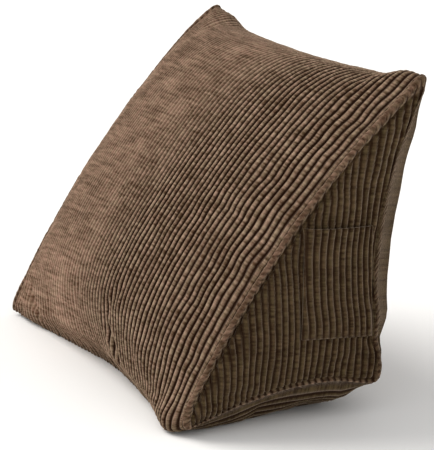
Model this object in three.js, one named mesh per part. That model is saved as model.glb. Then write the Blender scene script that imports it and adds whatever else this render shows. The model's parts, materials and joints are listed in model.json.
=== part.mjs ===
// Wedge reading pillow in wide-wale corduroy: a stuffed wedge with a patch pocket on its right side.
import * as THREE from 'three';

// Sizes in millimetres. X runs across the width, Y from the toe (-) to the back (+), Z up from the floor.
const SPREAD = 452; // between the two toe corners, and between the two heel corners
const DEPTH = 228; // from the toe corner to the heel corner
const TALL = 348; // from the floor to the top corners
const EAR_OUT = 12; // how far each top corner stands out beyond the corner below it
const TOP_SETBACK = 24; // how far the top corners lie behind the heel corners
const TOE_CORNER_Z = 1;
const HEEL_CORNER_Z = 33;

// How far the middle of each side seam lies off the straight line between its corners
const SLANT_SEAM = { inward: 2, forward: 21 };
const BACK_SEAM = { inward: 12, forward: 18 };
const BASE_SEAM = { inward: 2, up: 20 };

// Corduroy and sewing
const WRAP_WALES = 63;
const SIDE_WALES = 31;
const WALE_RISE = 1.5; // ridge above groove
const SIDE_CROWN = 11; // bulge of a side panel beyond its seams
const LIP_RISE = 3.2; // raised seam lip round each side panel, which straddles the seam
const LIP_OUTER = -1.8; // seam to the lip's outer shoulder, which stands past the panel
const LIP_INNER = 2.4; // seam to the lip's inner shoulder
const LIP_FOOT = 4.2; // seam to the stitched groove where the panel begins

// Steps of the faceted surface
const FRONT_STEPS = 13;
const BACK_STEPS = 7;
const BASE_ROWS = [0, 0.05, 0.11, 0.5, 0.89, 0.95]; // closer where the base turns up at heel and toe
const SIDE_STEPS = 8;
const ROW_SQUEEZE = 0.9; // 0 spaces the rows evenly, 1 closes them up at both ends
const NORMAL_REACH = { across: 0.004, turn: 0.01 }; // how far apart the points that give a normal lie

// Section of the stuffed body half-way across. One turn is 3: front from 0 (toe) to 1 (top edge),
// back from 1 to 2 (heel), base from 2 to 3. The lower the spread, the sooner the section's bulge
// is reached going in from the side seams. What lies under the floor is flattened on it.
const MIDDLE_SECTION = [
  { turn: 0.0, y: -88, z: 5, spread: 1.0 },
  { turn: 0.05, y: -108, z: 30, spread: 0.95 },
  { turn: 0.15, y: -110, z: 92, spread: 0.85 },
  { turn: 0.3, y: -88, z: 151, spread: 0.8 },
  { turn: 0.5, y: -44, z: 219, spread: 0.77 },
  { turn: 0.7, y: 4, z: 281, spread: 0.8 },
  { turn: 0.85, y: 48, z: 321, spread: 0.85 },
  { turn: 0.95, y: 95, z: 337, spread: 0.95 },
  { turn: 1.0, y: 134, z: 331, spread: 1.0 },
  { turn: 1.05, y: 157, z: 315, spread: 0.7 },
  { turn: 1.2, y: 163, z: 275, spread: 0.42 },
  { turn: 1.5, y: 157, z: 187, spread: 0.38 },
  { turn: 1.8, y: 151, z: 100, spread: 0.42 },
  { turn: 1.93, y: 141, z: 60, spread: 0.7 },
  { turn: 2.0, y: 118, z: 24, spread: 1.0 },
  { turn: 2.06, y: 99, z: 2, spread: 0.85 },
  { turn: 2.2, y: 66, z: -44, spread: 0.65 },
  { turn: 2.5, y: 0, z: -46, spread: 0.75 },
  { turn: 2.85, y: -60, z: -28, spread: 0.7 },
  { turn: 2.95, y: -80, z: -6, spread: 0.9 },
];
const SPREAD_LIMITS = { low: 0.35, high: 1.05 };

// A side panel bulges sooner from its toe and back seam than from the seams below and above
const CROWN_SHARPNESS = { alongDepth: 0.7, upward: 0.9 };

// Patch pocket on the right side panel, its corners seen from the side
const POCKET_CORNERS = {
  frontBottom: { y: 17.5, z: 89 },
  backBottom: { y: 99.5, z: 83 },
  frontMouth: { y: 13.7, z: 202 },
  backMouth: { y: 93, z: 197.5 },
};
const POCKET_WALES = 11;
const POCKET_STEPS = 6;
const POCKET_THICKNESS = 2;
const POCKET_CLEARANCE = 1.7; // inner face above the panel's middle height, clear of its ridges
const MOUTH_GAPE = 1.6; // extra lift of the pocket's mouth
const GAPE_PLACE = 0.2; // where along the mouth it gapes most, from the front
const GAPE_POWER = 4; // the higher, the nearer to the mouth the pocket starts to lift

// Search for the place on a panel below a point of the pocket
const PLACE_START = { along: 0.6, upward: 0.5 };
const PLACE_TRIES = 40;
const PLACE_LEAST_ALONG = 0.02; // keeps clear of the toe, where the panel has no height

const corduroy = new THREE.MeshStandardMaterial({ color: 0x6b513f, roughness: 0.95, metalness: 0 });
const pocketCloth = new THREE.MeshStandardMaterial({ color: 0x5c4837, roughness: 0.95, metalness: 0 });

const hump = (t) => 4 * t * (1 - t);

// Values from 0 to 1, closer together near both ends
function crowded(steps) {
  return Array.from({ length: steps + 1 }, (_, i) => {
    const t = i / steps;
    return t - (ROW_SQUEEZE * Math.sin(2 * Math.PI * t)) / (2 * Math.PI);
  });
}

// Smooth closed curve through one column of the middle section
function sectionValue(turn, column) {
  const rows = MIDDLE_SECTION;
  const count = rows.length;
  const at = (i) => {
    const lap = Math.floor(i / count);
    const row = rows[i - lap * count];
    return { turn: row.turn + 3 * lap, value: row[column] };
  };
  const slope = (i) => (at(i + 1).value - at(i - 1).value) / (at(i + 1).turn - at(i - 1).turn);
  const i = rows.findLastIndex((row) => row.turn <= turn);
  const a = at(i);
  const b = at(i + 1);
  const span = b.turn - a.turn;
  const t = (turn - a.turn) / span;
  const t2 = t * t;
  const t3 = t2 * t;
  return (
    (2 * t3 - 3 * t2 + 1) * a.value +
    (t3 - 2 * t2 + t) * span * slope(i) +
    (3 * t2 - 2 * t3) * b.value +
    (t3 - t2) * span * slope(i + 1)
  );
}

// Corners of one side panel; side is 1 on the right and -1 on the left
function panelCorners(side) {
  const x = (side * SPREAD) / 2;
  return {
    toe: new THREE.Vector3(x, -DEPTH / 2, TOE_CORNER_Z),
    top: new THREE.Vector3(x + side * EAR_OUT, DEPTH / 2 + TOP_SETBACK, TALL),
    heel: new THREE.Vector3(x, DEPTH / 2, HEEL_CORNER_Z),
  };
}

// A point of the side seam, at the same turns as the middle section
function seamPoint(turn, side) {
  const { toe, top, heel } = panelCorners(side);
  const slope = new THREE.Vector3(0, top.y - toe.y, top.z - toe.z).normalize();
  const slantBow = new THREE.Vector3(0, -slope.z, slope.y).multiplyScalar(SLANT_SEAM.forward);
  slantBow.x = -side * SLANT_SEAM.inward;
  const edges = [
    { from: toe, to: top, bow: slantBow },
    { from: top, to: heel, bow: new THREE.Vector3(-side * BACK_SEAM.inward, -BACK_SEAM.forward, 0) },
    { from: heel, to: toe, bow: new THREE.Vector3(-side * BASE_SEAM.inward, 0, BASE_SEAM.up) },
  ];
  const wrapped = ((turn % 3) + 3) % 3;
  const edge = edges[Math.floor(wrapped)];
  const t = wrapped - Math.floor(wrapped);
  return new THREE.Vector3().lerpVectors(edge.from, edge.to, t).addScaledVector(edge.bow, hump(t));
}

// Smooth surface of the wrap strip; across runs from 0 at the left seam to 1 at the right seam
function wrapPoint(across, turn) {
  const left = seamPoint(turn, -1);
  const right = seamPoint(turn, 1);
  const onSeams = new THREE.Vector3().lerpVectors(left, right, across);
  const wrapped = ((turn % 3) + 3) % 3;
  const bulge = new THREE.Vector3(
    0,
    sectionValue(wrapped, 'y') - right.y,
    sectionValue(wrapped, 'z') - right.z,
  );
  const { low, high } = SPREAD_LIMITS;
  const spread = THREE.MathUtils.clamp(sectionValue(wrapped, 'spread'), low, high);
  const point = onSeams.addScaledVector(bulge, Math.pow(Math.max(hump(across), 0), spread));
  point.z = Math.max(point.z, 0);
  return point;
}

function wrapNormal(across, turn) {
  const { across: aside, turn: ahead } = NORMAL_REACH;
  const alongX = wrapPoint(across + aside, turn).sub(wrapPoint(across - aside, turn));
  const alongTurn = wrapPoint(across, turn + ahead).sub(wrapPoint(across, turn - ahead));
  return alongX.cross(alongTurn).normalize();
}

// Odd columns are ridges and even ones grooves
const waleHeight = (column) => (column % 2 ? WALE_RISE / 2 : -WALE_RISE / 2);

function wrapVertex(column, columns, turn) {
  const across = column / columns;
  const point = wrapPoint(across, turn);
  const onSeam = column === 0 || column === columns;
  if (!onSeam && point.z > 0) {
    point.addScaledVector(wrapNormal(across, turn), waleHeight(column));
    point.z = Math.max(point.z, 0);
  }
  return point;
}

// A point beside the seam: inset towards the middle of the side panel, or past the seam where it is
// below 0, and lifted sideways out of the panel
function besideSeam(turn, side, inset, lift) {
  const { toe, top, heel } = panelCorners(side);
  const front = toe.distanceTo(top);
  const back = top.distanceTo(heel);
  const base = heel.distanceTo(toe);
  const round = front + back + base;
  const area = new THREE.Triangle(toe, top, heel).getArea();
  const inradius = (2 * area) / round;
  const centre = new THREE.Vector3()
    .addScaledVector(toe, back / round)
    .addScaledVector(top, base / round)
    .addScaledVector(heel, front / round);
  const point = seamPoint(turn, side);
  const away = point.clone().sub(centre);
  point.addScaledVector(away, -inset / (inset > 0 ? inradius : away.length()));
  point.x += side * lift;
  point.z = Math.max(point.z, 0);
  return point;
}

// Smooth surface of a side panel inside its seam lip: along the depth from the toe, and upward
function panelPoint(along, upward, side) {
  const edge = (turn) => besideSeam(turn, side, LIP_FOOT, 0);
  const low = edge(3 - along);
  const high = edge(along);
  const back = edge(2 - upward);
  const heelCorner = edge(2);
  const topCorner = edge(1);
  const ruled = new THREE.Vector3().lerpVectors(low, high, upward);
  const backStraight = new THREE.Vector3().lerpVectors(heelCorner, topCorner, upward);
  ruled.addScaledVector(back.sub(backStraight), along);
  const crown =
    Math.pow(Math.max(hump(along), 0), CROWN_SHARPNESS.alongDepth) *
    Math.pow(Math.max(hump(upward), 0), CROWN_SHARPNESS.upward);
  ruled.x += side * SIDE_CROWN * crown;
  return ruled;
}

// Place on the right side panel seen from the side at y, z
function panelPlace(y, z) {
  let { along, upward } = PLACE_START;
  for (let i = 0; i < PLACE_TRIES; i += 1) {
    const here = panelPoint(along, upward, 1);
    const columnHeight = seamPoint(along, 1).z - seamPoint(3 - along, 1).z;
    along = THREE.MathUtils.clamp(along + (y - here.y) / DEPTH, PLACE_LEAST_ALONG, 1);
    upward = THREE.MathUtils.clamp(upward + (z - here.z) / columnHeight, 0, 1);
  }
  return { along, upward };
}

// Vertices and faces of one closed body
class Skin {
  constructor() {
    this.positions = [];
    this.faces = [];
  }

  add(point) {
    this.positions.push(point.x, point.y, point.z);
    return this.positions.length / 3 - 1;
  }

  triangle(a, b, c, flipped = false) {
    this.faces.push(...(flipped ? [a, c, b] : [a, b, c]));
  }

  quad(a, b, c, d, flipped = false) {
    this.triangle(a, b, c, flipped);
    this.triangle(a, c, d, flipped);
  }

  geometry() {
    const geometry = new THREE.BufferGeometry();
    geometry.setAttribute('position', new THREE.Float32BufferAttribute(this.positions, 3));
    geometry.setIndex(this.faces);
    geometry.computeVertexNormals();
    return geometry;
  }
}

// Joins two closed loops of {vertex, turn}, each in the order of its turns from 0
function zipLoops(skin, outer, inner, flipped) {
  const at = (loop, i) => (i < loop.length ? loop[i] : { vertex: loop[0].vertex, turn: 3 });
  let i = 0;
  let j = 0;
  while (i < outer.length || j < inner.length) {
    const nextOuter = i < outer.length ? at(outer, i + 1).turn : Infinity;
    const nextInner = j < inner.length ? at(inner, j + 1).turn : Infinity;
    if (nextOuter <= nextInner) {
      skin.triangle(at(outer, i).vertex, at(inner, j).vertex, at(outer, i + 1).vertex, flipped);
      i += 1;
    } else {
      skin.triangle(at(outer, i).vertex, at(inner, j).vertex, at(inner, j + 1).vertex, flipped);
      j += 1;
    }
  }
}

// The strip that makes front, back and base: a ribbed tube, with its edge loops on the side seams
function addWrap(skin) {
  const columns = 2 * WRAP_WALES;
  const turns = [
    ...crowded(FRONT_STEPS).slice(0, -1),
    ...crowded(BACK_STEPS).slice(0, -1).map((t) => 1 + t),
    ...BASE_ROWS.map((t) => 2 + t),
  ];
  const rows = turns.map((turn) =>
    Array.from({ length: columns + 1 }, (_, column) => skin.add(wrapVertex(column, columns, turn))),
  );
  rows.forEach((row, r) => {
    const next = rows[(r + 1) % rows.length];
    for (let c = 0; c < columns; c += 1) {
      skin.quad(row[c], row[c + 1], next[c + 1], next[c]);
    }
  });
  const edgeLoop = (column) => rows.map((row, r) => ({ vertex: row[column], turn: turns[r] }));
  return { left: edgeLoop(0), right: edgeLoop(columns) };
}

// One side panel with its raised seam lip, joined to the wrap strip's edge loop
function addSidePanel(skin, side, wrapLoop) {
  const flipped = side < 0;
  const columns = 2 * SIDE_WALES;
  const heights = crowded(SIDE_STEPS);
  const toe = skin.add(panelPoint(0, 0, side));
  const grid = [heights.map(() => toe)];
  for (let c = 1; c <= columns; c += 1) {
    grid.push(
      heights.map((upward, r) => {
        const point = panelPoint(c / columns, upward, side);
        const inside = c < columns && r > 0 && r < SIDE_STEPS;
        point.x += inside ? side * waleHeight(c) : 0;
        return skin.add(point);
      }),
    );
  }
  for (let c = 0; c < columns; c += 1) {
    for (let r = 0; r < SIDE_STEPS; r += 1) {
      if (c === 0) {
        skin.triangle(toe, grid[1][r], grid[1][r + 1], flipped);
      } else {
        skin.quad(grid[c][r], grid[c + 1][r], grid[c + 1][r + 1], grid[c][r + 1], flipped);
      }
    }
  }

  const foot = [{ vertex: toe, turn: 0 }];
  for (let c = 1; c <= columns; c += 1) {
    foot.push({ vertex: grid[c][SIDE_STEPS], turn: c / columns });
  }
  for (let r = SIDE_STEPS - 1; r >= 0; r -= 1) {
    foot.push({ vertex: grid[columns][r], turn: 2 - heights[r] });
  }
  for (let c = columns - 1; c > 0; c -= 1) {
    foot.push({ vertex: grid[c][0], turn: 3 - c / columns });
  }
  const shoulder = (inset) =>
    foot.map(({ turn }) => ({ vertex: skin.add(besideSeam(turn, side, inset, LIP_RISE)), turn }));
  const outer = shoulder(LIP_OUTER);
  const inner = shoulder(LIP_INNER);
  foot.forEach((_, i) => {
    const n = (i + 1) % foot.length;
    skin.quad(outer[i].vertex, inner[i].vertex, inner[n].vertex, outer[n].vertex, flipped);
    skin.quad(inner[i].vertex, foot[i].vertex, foot[n].vertex, inner[n].vertex, flipped);
  });
  zipLoops(skin, wrapLoop, outer, flipped);
}

function cushionGeometry() {
  const skin = new Skin();
  const loops = addWrap(skin);
  addSidePanel(skin, 1, loops.right);
  addSidePanel(skin, -1, loops.left);
  return skin.geometry();
}

// The pocket: a ribbed sheet that follows the side panel, slightly open at its mouth
function pocketGeometry() {
  const skin = new Skin();
  const columns = 2 * POCKET_WALES;
  const { frontBottom, backBottom, frontMouth, backMouth } = POCKET_CORNERS;
  const faces = { inner: [], outer: [] };
  for (let c = 0; c <= columns; c += 1) {
    const along = c / columns;
    const inner = [];
    const outer = [];
    for (let r = 0; r <= POCKET_STEPS; r += 1) {
      const up = r / POCKET_STEPS;
      const mix = (key) =>
        THREE.MathUtils.lerp(
          THREE.MathUtils.lerp(frontBottom[key], backBottom[key], along),
          THREE.MathUtils.lerp(frontMouth[key], backMouth[key], along),
          up,
        );
      const place = panelPlace(mix('y'), mix('z'));
      const point = panelPoint(place.along, place.upward, 1);
      const spread = (along - GAPE_PLACE) / (1 - GAPE_PLACE);
      const gape = MOUTH_GAPE * Math.pow(up, GAPE_POWER) * (1 - spread * spread);
      point.x += POCKET_CLEARANCE + Math.max(gape, 0);
      inner.push(skin.add(point));
      const edge = c === 0 || c === columns || r === 0;
      point.x += POCKET_THICKNESS + (edge ? 0 : waleHeight(c));
      outer.push(skin.add(point));
    }
    faces.inner.push(inner);
    faces.outer.push(outer);
  }
  const { inner, outer } = faces;
  for (let c = 0; c < columns; c += 1) {
    for (let r = 0; r < POCKET_STEPS; r += 1) {
      skin.quad(outer[c][r], outer[c + 1][r], outer[c + 1][r + 1], outer[c][r + 1]);
      skin.quad(inner[c][r], inner[c][r + 1], inner[c + 1][r + 1], inner[c + 1][r]);
    }
    skin.quad(inner[c][0], inner[c + 1][0], outer[c + 1][0], outer[c][0]);
    const [outerHere, outerNext] = [outer[c][POCKET_STEPS], outer[c + 1][POCKET_STEPS]];
    const [innerHere, innerNext] = [inner[c][POCKET_STEPS], inner[c + 1][POCKET_STEPS]];
    skin.quad(outerHere, outerNext, innerNext, innerHere);
  }
  for (let r = 0; r < POCKET_STEPS; r += 1) {
    skin.quad(inner[0][r], outer[0][r], outer[0][r + 1], inner[0][r + 1]);
    skin.quad(outer[columns][r], inner[columns][r], inner[columns][r + 1], outer[columns][r + 1]);
  }
  return skin.geometry();
}

function namedMesh(name, geometry, material) {
  const mesh = new THREE.Mesh(geometry, material);
  mesh.name = name;
  return mesh;
}

const pillow = new THREE.Group();
pillow.add(namedMesh('cushion', cushionGeometry(), corduroy));
pillow.add(namedMesh('side_pocket', pocketGeometry(), pocketCloth));

export default pillow;
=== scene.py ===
import json
import math

import bpy
import numpy as np
from bpy.props import FloatProperty, FloatVectorProperty, IntProperty, PointerProperty
from mathutils import Matrix, Vector

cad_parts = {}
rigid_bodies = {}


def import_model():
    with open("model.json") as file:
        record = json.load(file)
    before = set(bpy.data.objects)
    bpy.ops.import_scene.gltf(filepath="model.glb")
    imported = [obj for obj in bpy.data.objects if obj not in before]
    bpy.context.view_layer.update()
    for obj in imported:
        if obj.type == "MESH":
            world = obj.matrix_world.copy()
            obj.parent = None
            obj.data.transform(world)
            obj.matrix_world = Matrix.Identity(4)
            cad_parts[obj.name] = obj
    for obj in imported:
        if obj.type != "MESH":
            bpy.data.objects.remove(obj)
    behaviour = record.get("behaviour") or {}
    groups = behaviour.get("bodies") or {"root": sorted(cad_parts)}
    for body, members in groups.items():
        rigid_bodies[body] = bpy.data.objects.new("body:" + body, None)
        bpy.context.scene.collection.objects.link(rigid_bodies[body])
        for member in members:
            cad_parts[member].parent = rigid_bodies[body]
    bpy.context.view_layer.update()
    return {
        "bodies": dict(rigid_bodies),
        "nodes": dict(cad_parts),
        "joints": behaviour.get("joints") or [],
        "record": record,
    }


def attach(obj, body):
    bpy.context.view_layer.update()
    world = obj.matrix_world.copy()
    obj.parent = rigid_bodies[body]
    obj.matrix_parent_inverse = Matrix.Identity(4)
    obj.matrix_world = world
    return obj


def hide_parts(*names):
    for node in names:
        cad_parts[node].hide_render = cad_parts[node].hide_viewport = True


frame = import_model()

bl_info = {
    "name": "Wedge reading pillow",
    "version": (1, 0, 0),
    "blender": (4, 5, 0),
    "location": "3D View > Sidebar > Pillow",
    "description": "Builds a stuffed wedge pillow in wide-wale corduroy with a patch pocket on one side",
    "category": "Mesh",
}

MM = 0.001

# Section of the stuffed body half-way across: turn, y and z in millimetres, and spread. Once round is 3
# turns: front from 0 (toe) to 1 (top edge), back from 1 to 2 (heel), base from 2 to 3. The lower the
# spread, the sooner the section's bulge is reached going in from the side seams. What lies under the
# floor is flattened on it.
MIDDLE_SECTION = (
    (0.00, -88, 5, 1.00),
    (0.05, -108, 30, 0.95),
    (0.15, -110, 92, 0.85),
    (0.30, -88, 151, 0.80),
    (0.50, -44, 219, 0.77),
    (0.70, 4, 281, 0.80),
    (0.85, 48, 321, 0.85),
    (0.95, 95, 337, 0.95),
    (1.00, 134, 331, 1.00),
    (1.05, 157, 315, 0.70),
    (1.20, 163, 275, 0.42),
    (1.50, 157, 187, 0.38),
    (1.80, 151, 100, 0.42),
    (1.93, 141, 60, 0.70),
    (2.00, 118, 24, 1.00),
    (2.06, 99, 2, 0.85),
    (2.20, 66, -44, 0.65),
    (2.50, 0, -46, 0.75),
    (2.85, -60, -28, 0.70),
    (2.95, -80, -6, 0.90),
)

# Ears, sags and swells: place, push and reach along x, y and z, in millimetres
EARS_AND_SAGS = (
    ((238, 138, 338), (-2, 4, 1), (30, 30, 30)),  # top right
    ((208, 136, 340), (0, 0, 6), (22, 30, 30)),  # its shoulder
    ((140, 133, 335), (0, 0, 1.5), (60, 30, 30)),  # top edge to the right
    ((222, 137, 295), (0, 5, 0), (40, 40, 28)),  # back below the top right
    ((222, 140, 225), (0, 2, 0), (35, 40, 45)),  # and further down
    ((234, 145, 328), (0, 3.5, 0), (30, 40, 15)),  # and up beside the ear
    ((-238, 138, 338), (3, 9, 4), (30, 30, 30)),  # top left
    ((-190, 138, 338), (0, 5, 6), (28, 30, 30)),  # its shoulder
    ((230, -114, 3), (-2, 13, 6), (15, 30, 24)),  # right toe, where the seam stops short
    ((200, -112, 8), (0, -5, 0), (22, 22, 22)),  # its ear
    ((180, -105, 5), (0, -6, 0), (45, 40, 30)),  # toe's edge towards the right
    ((0, -100, 10), (0, 8, 2), (75, 60, 50)),  # sag in the toe's edge
    ((-180, -100, 3), (0, -5, 0), (45, 40, 30)),  # toe's edge towards the left
    ((-226, -112, 3), (1, 1, 0), (22, 22, 22)),  # left toe
    ((226, 112, 33), (1, 0, -1), (24, 24, 20)),  # right heel
    ((214, 122, 103), (0, 3, 0), (40, 40, 16)),  # back beside the pocket
    ((215, 132, 78), (0, -2.5, 0), (45, 45, 9)),  # pinch under it
    ((215, 128, 58), (0, 1.5, 0), (45, 45, 14)),  # back below the pinch
    ((205, 88, 15), (0, 0, -6), (25, 18, 30)),  # base sags beside the heel
    ((185, 55, 0), (0, 0, 8), (30, 28, 40)),  # lifts before it
    ((195, -35, 0), (0, 0, -6), (30, 50, 40)),  # and fills out again
)

# Sharp folds: start, end, push and half width, in millimetres
CREASES = (
    ((-179, -106, 38), (-153, -106, 14), (0, 4.0, 0.5), 3.5),  # beside the left toe
    ((-186, -107, 44), (-170, -107, 22), (0, 2.5, 0.5), 2.5),
    ((72, -102, 18), (50, -108, 58), (0, 3.5, 0.5), 6.0),  # middle of the toe's edge
    ((60, -104, 22), (44, -107, 46), (0, -1.5, 0), 5.0),  # and the swell before it
)

# Faces across a rib, and rows of faces with how much closer they lie towards the corners
COLUMNS_PER_WALE = 6
PANEL_COLUMNS_PER_WALE = 7
FRONT_ROWS = (84, 0.55)
BACK_ROWS = (38, 0.6)
BASE_ROWS = (22, 0.6)
PANEL_ROWS = (62, 0.5)

# Wales of the side panels, in millimetres: where the first groove lies, how far apart the grooves
# are there, and how much further each next one is
PANEL_WALES = (-86.8, 6.6, 0.024)
# Height, and how far the wales lie there forward of straight upright lines, near the toe and near the back
GRAIN_SHIFT = (
    (15, -4.0, -3.0),
    (38, -3.5, -3.5),
    (70, -0.5, -6.5),
    (110, 3.5, -6.0),
    (150, 1.5, 3.0),
    (190, 9.5, -1.0),
    (240, 9.0, -5.0),
    (300, 8.0, -8.0),
)
# The same for the pocket, whose wales all shift alike
POCKET_WALES = (24.2, 7.9, -0.13)
POCKET_SHIFT = ((78, -9.5), (100, -9.0), (125, -4.6), (150, -1.7), (175, 0.3), (200, 0.0))
# Cloth coordinates of each part count its wales from a number of their own
PANEL_FIRST_WALE = {-1: 100, 1: 300}
POCKET_FIRST_WALE = 400

# Soft noises: how far one bump reaches along two directions, in ribs, metres or radians, how far each
# direction is shifted, in bumps, and the seed
NOISES = {
    "wobble": (5, 0.045, 0, 0, 3),
    "fine wobble": (2, 0.020, 0, 0, 4),
    "beads": (1, 0.009, 0, 0, 5),
    "panel wobble": (4, 0.050, 40, 0, 11),
    "panel beads": (1, 0.010, 11, 0, 15),
    "pocket beads": (1, 0.010, 0, 0, 23),
    "sway": (0.024, 1 / 7, 5, 0, 31),
    "billow": (0.030, 14, 0, 60, 33),
    "lip girth": (0.019, 1, 0, 4.5, 41),
    "fine lip girth": (0.006, 1, 0, 9.5, 42),
    "lip wander": (0.028, 1, 0, 14.5, 43),
    "lip grain": (0.0034, 1 / 2.2, 0, 0, 44),
}
NOISE_LATTICE = (97, 89)

# How the ribs wander sideways, as shares of a rib, and how their height varies
WOBBLE = 0.2
SWAY = 0.3
PANEL_WOBBLE = 0.15
BEAD = 0.16
POCKET_BEAD = 0.18
BEAD_STEP = 3.7  # from one rib to the next through the noise, so each has its own beads
RIDGE_POWER = 0.75
BILLOW = 1.3 * MM  # waves of the cloth where a seam gathers it
GATHER_REACH = 32 * MM  # from the seam inward
PANEL_RECESS = 1.4 * MM  # how far a side panel's edge tucks under the seam lip

# The front's pile is crushed flat towards the left: shares of the width, and how much farther it
# reaches for each turn above the middle
CRUSHED_END = 0.60
CRUSHED_FADE = 0.24
CRUSHED_LEAN = 0.25
CRUSHED_LEAN_TURNS = (3.4, 0.6)  # where the lean starts, and for how long
CRUSHED_FILLED = 0.85  # share of the grooves' depth of colour that the crushed pile hides
CRUSHED_FLAT = 0.6  # share of the ribs' height that it takes away
# Painted light by the toe, where it faces the floor: how much paler the crushed front is painted there, and
# over how many turns
TOE_PAINTED_LIGHT = 0.6  # how much paler it is by the toe
TOE_PAINTED_LIGHT_TURNS = 0.18

# Along the slant, the back and the base: share of the width that each seam lip covers, and how much of the
# cloth is given the side panels' darker tint as painted shade, in the open and close to the lips
WRAP_ENDS = (0.0092, 0.0092, 0.006)
WRAP_PAINTED_SHADE = (0, 0.35, 1.0)
WRAP_EDGE_PAINTED_SHADE = (0.12, 1.15, 1.05)
WRAP_EDGE_REACH = 10 * MM
WRAP_EDGE_FILLED = (0, 0.4, 0)
WRAP_FILLED_REACH = 8 * MM
PANEL_FILLED = 0.2

# Cross-section of the seam lip along the slant, the back and the base, in millimetres
LIP_OUTWARD = (0.2, -1.4, -0.7)  # its middle, away from the side panel
LIP_SIDEWAYS = (-0.4, -1.6, 0.2)
LIP_RADIUS = (2.6, 4.0, 1.35)
# How much of the side panels' darker tint each lip gets, as painted shade, most on the back
LIP_PAINTED_SHADE = (0.15, 0.80, 0.2)
LIP_FILLED = (0.75, 0.35, 0.15)
LIP_ROPE = (1, 1, 0)  # 1 where cut wales cross the lip like the strands of a rope
LIP_OWN_SHADE = (0, 1, 0)  # 1 where the lip has its own tone right from the wrap strip on
LIP_START = math.radians(165)
LIP_END = math.radians(-72)
LIP_RINGS = 12
LIP_SHADE_BLEND = 0.15  # share of the way round that its tone takes to leave the wrap's
LIP_GIRTH = 0.14  # how much its radius varies, as a share
FINE_LIP_GIRTH = 0.07
LIP_WANDER = 0.6 * MM
LIP_GRAIN = 0.12
STRAND = 6.8 * MM  # from one strand to the next along the lip
STRAND_SLOPE = 0.45  # strands for each radian round the lip
STRAND_SWELL = 0.10
# Towards the panel the ends of its wales show on the lip: from which share of the way round, over
# which share, and how high
TIP_START = 0.62
TIP_BLEND = 0.25
TIP_RISE = 0.9 * MM
# How far the wale tips take on the side panel's tint, partly nap tone and partly painted shade
TIP_NAP_AND_SHADE = 0.5

# Front and back corner of the pocket seen from the side, in millimetres
POCKET_BOTTOM = ((17.5, 89), (99.5, 83))
POCKET_MOUTH = ((13.7, 202), (93, 197.5))
POCKET_COLUMNS = 92
POCKET_ROWS = 44
POCKET_THICKNESS = 2 * MM
POCKET_CLEARANCE = 1.9 * MM
MOUTH_GAPE = 3.0 * MM
GAPE_PLACE = 0.15  # share of the mouth's width where it stands open most
GAPE_POWER = 5  # how quickly the gape closes below the mouth
SEARCH_STEPS = 40  # to find the pocket's places on the panel

# Colours of the pile as multiples of the ridge colour, and the tints over them
WORN_PILE = (1.9, 2.08, 2.35)
FRESH_PILE = (0.50, 0.44, 0.36)
REDDISH = (1.05, 0.98, 0.96, 1.0)
OLIVE = (0.97, 1.01, 0.92, 1.0)
# Side panels' tint: partly the darker olive tone of their nap, partly painted shade of the sides that face
# away from the light
SIDE_NAP_AND_SHADE_TINT = (0.32, 0.32, 0.225, 1.0)
CRUSHED_TINT = (0.75, 0.66, 0.65, 1.0)
SHEEN_TINT = (0.95, 0.74, 0.56, 1.0)
# How strongly each noise makes the pile paler or darker
WEAR = {"beads": 2.6, "crush": 1.0, "patches": 0.9, "fuzz": 1.3, "cloud": 0.6, "streaks": 1.8}
BEADS_HIDDEN = 0.6  # where the grooves are filled
FILLED_DARKER = 0.10
# Below the first share the groove colour, ground cloth with painted shade, also covers the lower flanks of
# the ribs
PILE_FROM = (0.40, 0.98)  # between these shares of a rib's height the pile covers the ground cloth

PHOTO_WIDTH = 434  # pixels
AIM_RIGHT = 30.2  # pixels from the camera's axis to the middle of the photo's frame
AIM_DOWN = 17.5
SENSOR = 36.0  # millimetres
LOOKED_AT = (0.0, 0.0, 0.17)
FLOOR_HALF = 12.0
FLOOR_COLOR = (0.93, 0.93, 0.925, 1.0)
SKY_COLOR = (1.0, 0.99, 0.98, 1.0)
KEY_COLOR = (1.0, 0.97, 0.93)
KEY_TOWARDS = (-0.60, -0.45, 0.75)  # from the pillow to the light
KEY_SPREAD = 40  # degrees


def number(name, description, default, **kind):
    return FloatProperty(name=name, description=description, default=default, **kind)


def metres(name, description, default):
    return number(name, description, default, unit="LENGTH")


def degrees(name, description, default):
    return number(name, description, math.radians(default), subtype="ANGLE")


def color(name, description, default):
    return FloatVectorProperty(name=name, description=description, default=default, subtype="COLOR")


class PillowSizes(bpy.types.PropertyGroup):
    spread: metres("Corner spread", "Width between the two toe corners", 0.452)
    depth: metres("Base depth", "From the toe corner to the heel corner", 0.228)
    tall: metres("Height", "From the floor to the top corners of the seams", 0.348)
    ear_out: metres("Ear", "How far a top corner stands out beyond the one below", 0.012)
    top_setback: metres("Top setback", "How far the top corners lie behind the heel", 0.024)
    toe_corner_z: metres("Toe corner height", "Height of the toe corners", 0.001)
    heel_corner_z: metres("Heel corner height", "Height of the heel corners", 0.033)
    side_crown: metres("Side crown", "Bulge of a side panel beyond its seams", 0.011)


class CorduroySettings(bpy.types.PropertyGroup):
    wrap_wales: IntProperty(name="Wrap wales", description="Ribs across the front and the back", default=63)
    side_wales: IntProperty(name="Side wales", description="Ribs across a side panel", default=31)
    wale_rise: metres("Wale rise", "Height of a rib above its groove", 0.0027)
    ridge_color: color("Ridge colour", "Colour of the pile on a rib", (0.174, 0.110, 0.070))
    # The ground cloth's colour, darkened to near black with painted shade in the grooves
    ground_and_groove_shade_color: color("Groove colour", "Colour of the ground cloth", (0.016, 0.0045, 0.0006))
    sheen: number("Sheen", "Soft shine of the pile", 0.40, subtype="FACTOR")


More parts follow.
